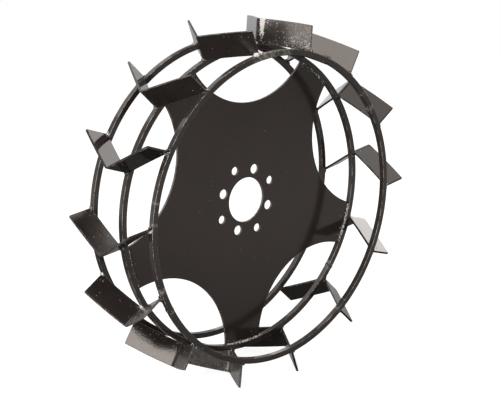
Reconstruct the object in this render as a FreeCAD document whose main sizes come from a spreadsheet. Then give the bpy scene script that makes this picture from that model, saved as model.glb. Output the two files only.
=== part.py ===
import FreeCAD, Part
import Sketcher
import math
import os

V = FreeCAD.Vector

# Walk-behind tractor lug wheel: three hoops of square bar, a scalloped disc and bent lugs, welded together.
# The origin is the wheel's centre, in the plane of the disc. The axle line is Y, the near side is -Y, Z is up.
# Each turn is in degrees about the axle, from +X towards +Z as seen from the near side.

doc = FreeCAD.newDocument("lug_wheel")

# Driving dimensions in millimetres and degrees

SIZES = {
    # Hoops
    "hoop_outer_radius": 275,
    "hoop_bar": 10,
    "hoop_bar_edge": 1,
    "hoop_spacing": 80,
    "butt_gap": 3,
    "butt_proud": 0.7,
    "butt_angle_far": 58,
    "butt_angle_middle": 319.5,
    "butt_angle_near": 206,
    # Disc
    "disc_thickness": 4,
    "disc_angle": 158,
    "scallop_count": 5,
    "arm_width": 79.6,
    "disc_waist_radius": 174,
    "hub_hole": 80,
    "large_hole_count": 4,
    "large_hole": 17,
    "large_hole_circle": 112,
    "small_hole_count": 4,
    "small_hole": 14.5,
    "small_hole_circle": 124,
    # Lugs
    "lug_count": 14,
    "lug_angle": 108.4,
    "lug_height": 44,
    "lug_thickness": 4,
    "lug_inner_bend": 6,
    "lug_wing_angle": 32,
    "lug_end_setback": 2,
    # Weld beads
    "lug_bead": 3.8,
    "lug_bead_margin": 0.4,
    "disc_bead": 3,
    "disc_bead_margin": 3,
}

# The lugs are set by eye, so each one strays a little from its even place: degrees towards +Z, lug_01 first
LUG_STRAYS = (-0.4, 0.2, 2.5, 1.4, 1.6, 1.2, 0.3, -1.5, -1.2, -0.9, -0.7, -0.5, -1.3, -0.3)

# Sizes worked out from the driving ones
# A scallop passes through the corners of the two arms beside it and reaches in to the waist between them.

DERIVED = {
    "hoop_inner_radius": "=hoop_outer_radius - hoop_bar",
    "butt_gap_angle": "=2 * asin(butt_gap / 2 / hoop_outer_radius) / 1deg",
    "lug_half_width": "=hoop_spacing + hoop_bar / 2 - lug_end_setback",
    "lug_outer_bend": "=lug_inner_bend + lug_thickness",
    "lug_sine": "=sin(lug_wing_angle * 1deg)",
    "lug_cosine": "=cos(lug_wing_angle * 1deg)",
    "lug_wing": "=(lug_half_width - lug_outer_bend * lug_sine) / lug_cosine",
    "lug_depth": "=lug_outer_bend - lug_inner_bend * lug_cosine + lug_wing * lug_sine",
    "lug_tip_radius": "=hoop_outer_radius + lug_height",
    "lug_foot": "=sqrt(hoop_outer_radius ^ 2 - lug_depth ^ 2) - 1",
    "arm_angle": "=2 * asin(arm_width / 2 / hoop_inner_radius) / 1deg",
    "scallop_half_angle": "=180 / scallop_count - arm_angle / 2",
    "scallop_centre": "=(hoop_inner_radius ^ 2 - disc_waist_radius ^ 2)"
    " / (2 * (hoop_inner_radius * cos(scallop_half_angle * 1deg) - disc_waist_radius))",
    "scallop_radius": "=scallop_centre - disc_waist_radius",
    "disc_bead_angle": "=arm_angle - 2 * asin(disc_bead_margin / hoop_inner_radius) / 1deg",
}

sheet = doc.addObject("Spreadsheet::Sheet", "sizes")
for row, (alias, entry) in enumerate(list(SIZES.items()) + list(DERIVED.items()), start=1):
    sheet.set("A%d" % row, alias)
    sheet.set("B%d" % row, str(entry))
    sheet.setAlias("B%d" % row, alias)
doc.recompute()


def size(alias):
    return float(getattr(sheet, alias))


# Helpers for bodies and sketches


def new_body(label, axial, turn, axis):
    # A body moved along the axle and turned about it
    body = doc.addObject("PartDesign::Body", label)
    body.Label = label
    body.setExpression(
        "Placement",
        "placement(vector(0; %s; 0); rotation(vector(0; %d; 0); %s))" % (axial, axis, turn),
    )
    return body


def origin_feature(body, role):
    for feature in body.Origin.OriginFeatures:
        if feature.Role == role:
            return feature
    raise ValueError(role)


def new_sketch(body, name, plane):
    sketch = body.newObject("Sketcher::SketchObject", name)
    sketch.AttachmentSupport = [(origin_feature(body, plane), "")]
    sketch.MapMode = "FlatFace"
    return sketch


def drive(sketch, constraint, name, formula):
    index = sketch.addConstraint(constraint)
    sketch.renameConstraint(index, name)
    sketch.setExpression("Constraints." + name, formula)


def draw_circle(sketch, reach, radius, reach_formula, radius_formula):
    # A circle on the sketch's first axis, or at its origin where it has no reach
    circle = sketch.addGeometry(Part.Circle(V(reach, 0, 0), V(0, 0, 1), radius), False)
    drive(sketch, Sketcher.Constraint("Radius", circle, radius), "radius", radius_formula)
    if reach_formula:
        sketch.addConstraint(Sketcher.Constraint("PointOnObject", circle, 3, -1))
        drive(sketch, Sketcher.Constraint("DistanceX", -1, 1, circle, 3, reach), "reach", reach_formula)
    else:
        sketch.addConstraint(Sketcher.Constraint("Coincident", circle, 3, -1, 1))


def draw_rectangle(sketch, low_x, low_y, width, height, formulas):
    # An upright rectangle with its low corner, width and height driven by four formulas
    corners = [
        V(low_x, low_y, 0),
        V(low_x + width, low_y, 0),
        V(low_x + width, low_y + height, 0),
        V(low_x, low_y + height, 0),
    ]
    for i in range(4):
        sketch.addGeometry(Part.LineSegment(corners[i], corners[(i + 1) % 4]), False)
    for i in range(4):
        sketch.addConstraint(Sketcher.Constraint("Coincident", i, 2, (i + 1) % 4, 1))
        sketch.addConstraint(Sketcher.Constraint("Vertical" if i % 2 else "Horizontal", i))
    drive(sketch, Sketcher.Constraint("DistanceX", -1, 1, 0, 1, low_x), "low_x", formulas[0])
    drive(sketch, Sketcher.Constraint("DistanceY", -1, 1, 0, 1, low_y), "low_y", formulas[1])
    drive(sketch, Sketcher.Constraint("DistanceX", 0, 1, 0, 2, width), "width", formulas[2])
    drive(sketch, Sketcher.Constraint("DistanceY", 1, 1, 1, 2, height), "height", formulas[3])


def turn_profile(body, kind, name, sketch, axis, angle):
    # A revolution or a groove of a sketch about one of the sketch's own axes
    feature = body.newObject("PartDesign::" + kind, name)
    feature.Profile = sketch
    feature.ReferenceAxis = (sketch, [axis])
    feature.setExpression("Angle", angle)
    return feature


# Hoops: square bar rolled to a ring, its long edges broken, open where the butt weld closes it


def make_hoop(label, axial, turn):
    body = new_body(label, axial, turn + " - sizes.butt_gap_angle / 2", -1)
    section = new_sketch(body, label + "_section", "XY_Plane")
    bar = size("hoop_bar")
    draw_rectangle(
        section, size("hoop_inner_radius"), -bar / 2, bar, bar,
        ("sizes.hoop_inner_radius", "-sizes.hoop_bar / 2", "sizes.hoop_bar", "sizes.hoop_bar"),
    )
    ring = turn_profile(body, "Revolution", label + "_ring", section, "V_Axis", "360 - sizes.butt_gap_angle")
    doc.recompute()
    long_edges = [
        "Edge%d" % number
        for number, edge in enumerate(ring.Shape.Edges, start=1)
        if isinstance(edge.Curve, Part.Circle)
    ]
    broken_edges = body.newObject("PartDesign::Chamfer", label + "_edges")
    broken_edges.Base = (ring, long_edges)
    broken_edges.setExpression("Size", "sizes.hoop_bar_edge")
    return body


# Butt welds: the short slug between a hoop's ends, a little proud of the bar on all four sides


def make_butt_weld(label, axial, turn):
    body = new_body(label, axial, turn + " + sizes.butt_gap_angle / 2", -1)
    section = new_sketch(body, label + "_section", "XY_Plane")
    proud = size("butt_proud")
    side = size("hoop_bar") + 2 * proud
    draw_rectangle(
        section, size("hoop_inner_radius") - proud, -side / 2, side, side,
        (
            "sizes.hoop_inner_radius - sizes.butt_proud",
            "-sizes.hoop_bar / 2 - sizes.butt_proud",
            "sizes.hoop_bar + 2 * sizes.butt_proud",
            "sizes.hoop_bar + 2 * sizes.butt_proud",
        ),
    )
    turn_profile(body, "Revolution", label + "_slug", section, "V_Axis", "sizes.butt_gap_angle")
    return body


# Disc: round plate inside the middle hoop, cut back by scallops that leave arms, with a hub hole and bolt holes


def cut_pattern(body, name, reach, radius, reach_formula, radius_formula, count, start):
    # A round cut through the plate, repeated evenly about the axle
    sketch = new_sketch(body, name + "_outline", "XZ_Plane")
    draw_circle(sketch, reach, radius, reach_formula, radius_formula)
    if start:
        sketch.setExpression("AttachmentOffset", "placement(vector(0; 0; 0); rotation(vector(0; 0; 1); %s))" % start)
    cut = body.newObject("PartDesign::Pocket", name)
    cut.Profile = sketch
    cut.Type = "ThroughAll"
    cut.SideType = "Symmetric"
    body.Tip = cut
    if count is None:
        return
    doc.recompute()
    pattern = body.newObject("PartDesign::PolarPattern", name + "_pattern")
    pattern.Originals = [cut]
    pattern.Axis = (origin_feature(body, "Y_Axis"), [""])
    pattern.Angle = 360
    pattern.setExpression("Occurrences", count)
    body.Tip = pattern


def make_disc(label):
    body = new_body(label, "0", "sizes.disc_angle", -1)
    outline = new_sketch(body, "disc_outline", "XZ_Plane")
    draw_circle(outline, 0, size("hoop_inner_radius"), None, "sizes.hoop_inner_radius")
    plate = body.newObject("PartDesign::Pad", "disc_plate")
    plate.Profile = outline
    plate.SideType = "Symmetric"
    plate.setExpression("Length", "sizes.disc_thickness")
    doc.recompute()
    cut_pattern(
        body, "scallop", size("scallop_centre"), size("scallop_radius"),
        "sizes.scallop_centre", "sizes.scallop_radius", "sizes.scallop_count", None,
    )
    cut_pattern(body, "hub_hole", 0, size("hub_hole") / 2, None, "sizes.hub_hole / 2", None, None)
    cut_pattern(
        body, "large_hole", size("large_hole_circle") / 2, size("large_hole") / 2,
        "sizes.large_hole_circle / 2", "sizes.large_hole / 2", "sizes.large_hole_count", None,
    )
    cut_pattern(
        body, "small_hole", size("small_hole_circle") / 2, size("small_hole") / 2,
        "sizes.small_hole_circle / 2", "sizes.small_hole / 2", "sizes.small_hole_count",
        "180 / sizes.small_hole_count",
    )
    return body


# Lugs: flat bar bent to a V. Each stands on the three hoops, and both its long edges follow circles round the axle.
# In a lug's own frame X is the way it trails, Y is the axle line and Z points outward at the bend.


def lug_plan():
    # The corners of the V seen from outside, for the half on +Y; the other half mirrors them
    sine = size("lug_sine")
    cosine = size("lug_cosine")
    wing = size("lug_wing")
    centre = size("lug_outer_bend")
    outer_tangent = V(centre * (1 - cosine), centre * sine, 0)
    inner_tangent = V(centre - size("lug_inner_bend") * cosine, size("lug_inner_bend") * sine, 0)
    along = V(sine, cosine, 0) * wing
    return outer_tangent, outer_tangent + along, inner_tangent + along, inner_tangent


def mirrored(point):
    return V(point.x, -point.y, 0)


def draw_lug(sketch):
    outer_tangent, outer_end, inner_end, inner_tangent = lug_plan()
    angle = math.radians(size("lug_wing_angle"))
    centre = V(size("lug_outer_bend"), 0, 0)
    for radius in (size("lug_outer_bend"), size("lug_inner_bend")):
        circle = Part.Circle(centre, V(0, 0, 1), radius)
        sketch.addGeometry(Part.ArcOfCircle(circle, math.pi - angle, math.pi + angle), False)
    for place in (V, mirrored):
        points = [place(point) for point in (outer_tangent, outer_end, inner_end, inner_tangent)]
        for start, end in zip(points, points[1:]):
            sketch.addGeometry(Part.LineSegment(start, end), False)
    outer_arc, inner_arc = 0, 1
    for side, first in ((1, 2), (2, 5)):
        outer_line, end_line, inner_line = first, first + 1, first + 2
        sketch.addConstraint(Sketcher.Constraint("Tangent", outer_arc, side, outer_line, 1))
        sketch.addConstraint(Sketcher.Constraint("Tangent", inner_arc, side, inner_line, 2))
        sketch.addConstraint(Sketcher.Constraint("Coincident", outer_line, 2, end_line, 1))
        sketch.addConstraint(Sketcher.Constraint("Coincident", end_line, 2, inner_line, 1))
        sketch.addConstraint(Sketcher.Constraint("Perpendicular", outer_line, end_line))
        sketch.addConstraint(Sketcher.Constraint("Parallel", outer_line, inner_line))
    sketch.addConstraint(Sketcher.Constraint("Coincident", outer_arc, 3, inner_arc, 3))
    sketch.addConstraint(Sketcher.Constraint("PointOnObject", outer_arc, 3, -1))
    bend = size("lug_outer_bend")
    half_width = size("lug_half_width")
    lean = math.pi / 2 - angle
    drive(sketch, Sketcher.Constraint("Radius", outer_arc, bend), "outer_bend", "sizes.lug_outer_bend")
    drive(
        sketch, Sketcher.Constraint("Radius", inner_arc, size("lug_inner_bend")),
        "inner_bend", "sizes.lug_inner_bend",
    )
    drive(
        sketch, Sketcher.Constraint("DistanceX", -1, 1, outer_arc, 3, bend),
        "bend_centre", "sizes.lug_outer_bend",
    )
    drive(sketch, Sketcher.Constraint("Angle", 2, lean), "far_wing", "90 - sizes.lug_wing_angle")
    drive(sketch, Sketcher.Constraint("Angle", 5, -lean), "near_wing", "sizes.lug_wing_angle - 90")
    drive(
        sketch, Sketcher.Constraint("DistanceY", -1, 1, 2, 2, half_width),
        "far_end", "sizes.lug_half_width",
    )
    drive(
        sketch, Sketcher.Constraint("DistanceY", 5, 2, -1, 1, half_width),
        "near_end", "sizes.lug_half_width",
    )


def trim_lug(body, name, low, height, low_formula, height_formula):
    # Cuts the lug with a ring about the axle, so that its edge follows a circle
    sketch = new_sketch(body, name + "_section", "YZ_Plane")
    width = 4 * size("lug_half_width")
    draw_rectangle(
        sketch, -width / 2, low, width, height,
        ("-2 * sizes.lug_half_width", low_formula, "4 * sizes.lug_half_width", height_formula),
    )
    return turn_profile(body, "Groove", name, sketch, "H_Axis", "360")


def lug_stray(index):
    return LUG_STRAYS[index % len(LUG_STRAYS)]


def make_lug(label, index):
    turn = "90 - sizes.lug_angle + %d * 360 / sizes.lug_count - (%s)" % (index, lug_stray(index))
    body = new_body(label, "0", turn, 1)
    plan = new_sketch(body, label + "_plan", "XY_Plane")
    plan.setExpression("AttachmentOffset", "placement(vector(0; 0; sizes.lug_foot); rotation(vector(0; 0; 1); 0))")
    draw_lug(plan)
    strip = body.newObject("PartDesign::Pad", label + "_strip")
    strip.Profile = plan
    strip.setExpression("Length", "sizes.lug_tip_radius + 1 - sizes.lug_foot")
    doc.recompute()
    before = strip.Shape.Volume
    foot = trim_lug(
        body, label + "_foot", size("hoop_outer_radius") / 2, size("hoop_outer_radius") / 2,
        "sizes.hoop_outer_radius / 2", "sizes.hoop_outer_radius / 2",
    )
    tip = trim_lug(
        body, label + "_tip", size("lug_tip_radius"), size("lug_depth"),
        "sizes.lug_tip_radius", "sizes.lug_depth",
    )
    doc.recompute()
    if not before > foot.Shape.Volume > tip.Shape.Volume:
        raise RuntimeError(label + " was not trimmed")
    return body


# Weld beads of the lugs: one on each side of a lug wherever it crosses a hoop.
# A bead fills the corner between the lug and the hoop. It is thickest half way along and tapers to both ends.


def bead_solid(roots, across, up, leg):
    # A four-sided section stands on each of the three roots; the middle one is full size
    bulge = 0.62 * leg
    outline = [(0, 0), (leg, 0), (bulge, bulge), (0, leg)]
    rings = [
        [root + across * (x * share) + up * (y * share) for x, y in outline]
        for root, share in zip(roots, (0.45, 1, 0.45))
    ]
    faces = [rings[0], rings[2]]
    for low, high in zip(rings, rings[1:]):
        for i in range(4):
            following = (i + 1) % 4
            faces.append([low[i], low[following], high[following], high[i]])
    shell = Part.Shell([Part.Face(Part.makePolygon(corners + corners[:1])) for corners in faces])
    solid = Part.Solid(shell)
    if solid.Volume < 0:
        solid.reverse()
    return solid


def bend_trail(axial, inner_side):
    # How far the bend's outer or inner face trails behind the apex at a small distance along the axle
    if inner_side:
        return size("lug_outer_bend") - math.sqrt(size("lug_inner_bend") ** 2 - axial ** 2)
    return size("lug_outer_bend") - math.sqrt(size("lug_outer_bend") ** 2 - axial ** 2)


def lug_bead(inner_side, axial):
    # One bead in the lug's own frame, at the given distance along the axle
    outer_tangent, outer_end, inner_end, inner_tangent = lug_plan()
    tangent = inner_tangent if inner_side else outer_tangent
    end = inner_end if inner_side else outer_end
    half_length = size("hoop_bar") / 2 - size("lug_bead_margin")
    stations = (-half_length, 0, half_length)
    if axial == 0:
        reach = min(half_length, 0.8 * size("lug_inner_bend"))
        stations = (-reach, 0, reach)
        clear = 0 if inner_side else -size("lug_bead_margin")
        places = [(bend_trail(station, inner_side) + clear, station) for station in stations]
        along = V(0, 1, 0)
    else:
        slope = (end.x - tangent.x) / (end.y - tangent.y)
        along = V(size("lug_sine"), math.copysign(size("lug_cosine"), axial), 0)
        middle_trail = tangent.x + (abs(axial) - tangent.y) * slope
        places = [(middle_trail + along.x * station, axial + along.y * station) for station in stations]
    # The bead's underside lies on the plane that touches the hoop at the middle root
    outer = size("hoop_outer_radius")
    middle = places[1]
    top = V(middle[0], 0, math.sqrt(outer ** 2 - middle[0] ** 2))
    fall = -top.x / top.z
    roots = [V(trail, seat, top.z + fall * (trail - middle[0])) for trail, seat in places]
    away = 1 if inner_side else -1
    across_x = away * abs(along.y)
    across_y = -away * math.copysign(along.x, along.y)
    across = V(across_x, across_y, fall * across_x)
    return bead_solid(roots, across, V(0, 0, 1), size("lug_bead"))


def make_lug_welds(label, axial):
    pair = [lug_bead(inner_side, axial) for inner_side in (False, True)]
    beads = []
    for index in range(int(size("lug_count"))):
        turn = 90 - size("lug_angle") + index * 360 / size("lug_count") - lug_stray(index)
        for bead in pair:
            copy = bead.copy()
            copy.rotate(V(0, 0, 0), V(0, 1, 0), turn)
            beads.append(copy)
    feature = doc.addObject("Part::Feature", label)
    feature.Label = label
    feature.Shape = Part.Compound(beads)
    feature.Placement = FreeCAD.Placement()
    return feature


# Weld beads of the disc: a fillet on both faces of the plate, along the end of each arm


def make_disc_welds(label):
    turn = "sizes.disc_angle + 180 / sizes.scallop_count + sizes.disc_bead_angle / 2"
    body = new_body(label, "0", turn, -1)
    body.AllowCompound = True
    sketch = new_sketch(body, label + "_section", "XY_Plane")
    corner = size("hoop_inner_radius")
    face = size("disc_thickness") / 2
    leg = size("disc_bead")
    for number, side in enumerate((1, -1)):
        first = 3 * number
        root = V(corner, side * face, 0)
        toe = V(corner - leg, side * face, 0)
        top = V(corner, side * (face + leg), 0)
        sketch.addGeometry(Part.LineSegment(toe, root), False)
        sketch.addGeometry(Part.LineSegment(root, top), False)
        sketch.addGeometry(Part.LineSegment(top, toe), False)
        for i in range(3):
            sketch.addConstraint(Sketcher.Constraint("Coincident", first + i, 2, first + (i + 1) % 3, 1))
        sketch.addConstraint(Sketcher.Constraint("Horizontal", first))
        sketch.addConstraint(Sketcher.Constraint("Vertical", first + 1))
        tag = "far" if side > 0 else "near"
        drive(
            sketch, Sketcher.Constraint("DistanceX", -1, 1, first, 2, corner),
            tag + "_corner", "sizes.hoop_inner_radius",
        )
        drive(
            sketch, Sketcher.Constraint("DistanceX", first, 1, first, 2, leg),
            tag + "_toe", "sizes.disc_bead",
        )
        drive(
            sketch, Sketcher.Constraint("DistanceY", -1, 1, first, 2, side * face),
            tag + "_face", "%d * sizes.disc_thickness / 2" % side,
        )
        drive(
            sketch, Sketcher.Constraint("DistanceY", first + 1, 1, first + 1, 2, side * leg),
            tag + "_top", "%d * sizes.disc_bead" % side,
        )
    pair = turn_profile(body, "Revolution", label + "_pair", sketch, "V_Axis", "sizes.disc_bead_angle")
    doc.recompute()
    pattern = body.newObject("PartDesign::PolarPattern", label + "_pattern")
    pattern.Originals = [pair]
    pattern.Axis = (origin_feature(body, "Y_Axis"), [""])
    pattern.Angle = 360
    pattern.setExpression("Occurrences", "sizes.scallop_count")
    body.Tip = pattern
    return body


# The whole wheel

HOOPS = {"far": 1, "middle": 0, "near": -1}

pieces = []
for place, side in HOOPS.items():
    axial = "%d * sizes.hoop_spacing" % side
    butt = "sizes.butt_angle_" + place
    pieces.append(make_hoop("hoop_" + place, axial, butt))
    pieces.append(make_butt_weld("butt_weld_" + place, axial, butt))

pieces.append(make_disc("disc"))
pieces.append(make_disc_welds("disc_welds"))

lugs = [make_lug("lug_%02d" % (index + 1), index) for index in range(int(size("lug_count")))]
pieces += lugs
doc.recompute()

for place, side in HOOPS.items():
    pieces.append(make_lug_welds("lug_welds_" + place, side * size("hoop_spacing")))
doc.recompute()

# Every feature must have worked, and every piece must be a sound solid, before anything is written

for feature in doc.Objects:
    if "Invalid" in feature.State or "Error" in feature.State:
        raise RuntimeError(feature.Label + " failed")
for piece in pieces:
    if piece.Shape.isNull() or not piece.Shape.isValid() or not piece.Shape.Solids:
        raise RuntimeError(piece.Label + " is not a sound solid")

os.makedirs("parts", exist_ok=True)
for piece in pieces:
    piece.Shape.exportStep("parts/%s.step" % piece.Label)
    print(piece.Label, len(piece.Shape.Solids), "solids", round(piece.Shape.Volume / 1000, 1), "cm3")
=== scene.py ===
import math

import bpy
import numpy as np
from mathutils import Matrix, Vector
from mathutils.geometry import tessellate_polygon


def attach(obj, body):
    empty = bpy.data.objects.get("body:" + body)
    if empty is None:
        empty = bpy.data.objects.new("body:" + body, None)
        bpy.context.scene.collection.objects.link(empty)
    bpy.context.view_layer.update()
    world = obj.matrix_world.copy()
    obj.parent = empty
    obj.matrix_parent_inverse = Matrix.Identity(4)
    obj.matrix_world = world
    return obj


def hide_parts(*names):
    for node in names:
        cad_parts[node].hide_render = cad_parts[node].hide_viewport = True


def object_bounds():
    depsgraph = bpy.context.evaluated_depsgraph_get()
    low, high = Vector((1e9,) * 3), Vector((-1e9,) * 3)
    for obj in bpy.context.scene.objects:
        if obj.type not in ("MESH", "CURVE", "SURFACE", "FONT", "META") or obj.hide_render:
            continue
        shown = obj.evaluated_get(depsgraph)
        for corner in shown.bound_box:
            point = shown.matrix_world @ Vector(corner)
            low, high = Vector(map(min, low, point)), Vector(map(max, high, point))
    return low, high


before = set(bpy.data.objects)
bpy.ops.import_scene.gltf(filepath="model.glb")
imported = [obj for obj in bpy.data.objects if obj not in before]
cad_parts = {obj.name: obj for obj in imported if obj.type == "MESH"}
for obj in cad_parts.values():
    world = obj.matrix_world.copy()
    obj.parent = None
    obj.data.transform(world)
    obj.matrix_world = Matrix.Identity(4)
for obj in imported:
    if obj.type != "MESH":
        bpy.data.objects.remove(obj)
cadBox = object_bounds()
print("frame loaded")

# Lug wheel dressed as it leaves the paint shop: rolled hoops, a cut disc, bent lugs and hand-laid weld beads.
# Lengths are written in millimetres and become metres when a mesh is made. The axle is Y, the near side -Y,
# up Z. Angles are in degrees about the axle, from +X towards +Z as seen from the near side.

wheel = {
    "hoopRadius": 275.0,
    "barWidth": 10.0,
    "hoopSpacing": 80.0,
    "lugCount": 14,
    "firstLug": 108.4,
    "lugStrays": (-0.4, 0.2, 2.5, 1.4, 1.6, 1.2, 0.3, -1.5, -1.2, -0.9, -0.7, -0.5, -1.3, -0.3),
    "armCount": 5,
    "firstScallop": 158.0,
}
sides = {"Far": 1, "Middle": 0, "Near": -1}
evenAngles = wheel["firstLug"] - np.arange(wheel["lugCount"]) * 360 / wheel["lugCount"]
lugAngles = evenAngles + np.array(wheel["lugStrays"])
chance = np.random.default_rng(14)


# Tools for making meshes

def roundedOutline(halfWidth, halfHeight, corner, steps=4, support=0.25):
    # Closed outline of a rounded rectangle: each corner is a quarter circle about its own centre, and a
    # point on the flat before and after it keeps the flat's shading true. The three sizes may be arrays, one
    # outline for each entry.
    sizes = [np.asarray(v, float)[..., None] for v in (halfWidth, halfHeight, corner)]
    halfWidth, halfHeight, corner = np.broadcast_arrays(*sizes)
    parts, edge = [], []
    for quarter in range(4):
        turn = math.radians(90 * quarter) + np.linspace(0, math.pi / 2, steps + 1)
        signX, signY = (1, -1, -1, 1)[quarter], (1, 1, -1, -1)[quarter]
        arcX = signX * (halfWidth - corner) + corner * np.cos(turn)
        arcY = signY * (halfHeight - corner) + corner * np.sin(turn)
        beforeX = arcX[..., :1] + support * math.sin(turn[0])
        beforeY = arcY[..., :1] - support * math.cos(turn[0])
        afterX = arcX[..., -1:] - support * math.sin(turn[-1])
        afterY = arcY[..., -1:] + support * math.cos(turn[-1])
        x = np.concatenate([beforeX, arcX, afterX], -1)
        y = np.concatenate([beforeY, arcY, afterY], -1)
        parts.append(np.stack([x, y], -1))
        edge.append(np.r_[0, np.sin(np.linspace(0, math.pi, steps + 1)), 0])
    return np.concatenate(parts, -2), np.concatenate(edge)


def onWheel(trail, axial, outward, angle):
    # A lug's own frame carried round the wheel: trail points clockwise, outward points away from the axle
    turn = np.radians(angle)
    x = trail * np.sin(turn) + outward * np.cos(turn)
    z = -trail * np.cos(turn) + outward * np.sin(turn)
    return np.stack([x, axial + 0 * trail, z], -1)


def tubeFaces(points):
    # Quads round each tube of a stack shaped (tube, row, column), and one cap at each end, all facing out.
    # The sign of a tube's volume, summed over its quads' triangles, says if the tube has to turn.
    tubes, rows, columns = points.shape[:3]
    index = np.arange(tubes * rows * columns).reshape(tubes, rows, columns)
    following = np.roll(index, -1, axis=2)
    quads = np.stack([index[:, :-1], following[:, :-1], following[:, 1:], index[:, 1:]], -1)
    quads = quads.reshape(tubes, -1, 4)
    flat = points.reshape(-1, 3)
    a, b, c, d = (flat[quads[..., k]] - points.mean((1, 2))[:, None] for k in range(4))
    volume = np.einsum("tij,tij->t", a, np.cross(b, c)) + np.einsum("tij,tij->t", a, np.cross(c, d))
    faces = []
    for tube in range(tubes):
        turned = volume[tube] < 0
        faces += (quads[tube, :, ::-1] if turned else quads[tube]).tolist()
        first, last = index[tube, 0].tolist(), index[tube, -1].tolist()
        faces += [first, last[::-1]] if turned else [first[::-1], last]
    return faces


def addPiece(name, points, faces, slotName, paint, standsFor=(), **marks):
    # The marks are values kept on the piece's own points for its paint to read, such as where its edges are
    mesh = bpy.data.meshes.new(name)
    mesh.from_pydata((points.reshape(-1, 3) * 0.001).tolist(), [], faces)
    mesh.polygons.foreach_set("use_smooth", np.ones(len(mesh.polygons), bool))
    for mark, values in marks.items():
        layer = mesh.attributes.new(mark, "FLOAT", "POINT")
        spread = np.array(np.broadcast_to(values, points.shape[:-1]), np.float32)
        layer.data.foreach_set("value", spread.ravel())
    mesh.update()
    piece = bpy.data.objects.new(name, mesh)
    bpy.context.collection.objects.link(piece)
    mesh.materials.append(paint)
    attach(piece, "root")
    if standsFor:
        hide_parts(*standsFor)


# Paint: one recipe of nodes, with the numbers of each surface in its own look

recipe = {
    # a range is the two values of a noise between which the thing goes from none to full
    "driftRange": (0.32, 0.7),
    "hazeRange": (0.3, 0.7),
    "bareStep": 0.08,  # how far past its threshold a place is fully light: worn paint, bare steel and partly a painted highlight
    "bareHaze": 0.2,  # roughness that such a light place adds
    "nibRange": (0.25, 0.5),
    # patches of dust, partly a painted reflection of the lamps on the lugs' faces
    "dustScale": 110,
    "dustRange": (0.10, 0.60),
    "dustHaze": 0.25,
    # painted glints: fine light grains that stand in for highlights of the lamps in the lugs' orange peel
    "grainScale": 440,
    "grainRange": (0.72, 0.80),
    "grainShare": 0.35,  # how much of the painted glint mark is added to the glint noise
    "bendScale": 90,
    "bendWay": 6.0,  # how far a grinder's strokes are bent, in millimetres
    "breakScale": 260,
    "breakShare": 0.7,
    "strokeRange": (0.83, 0.92),
    "strokeHaze": 0.15,
    "strokeDepth": 0.05,
}


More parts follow.
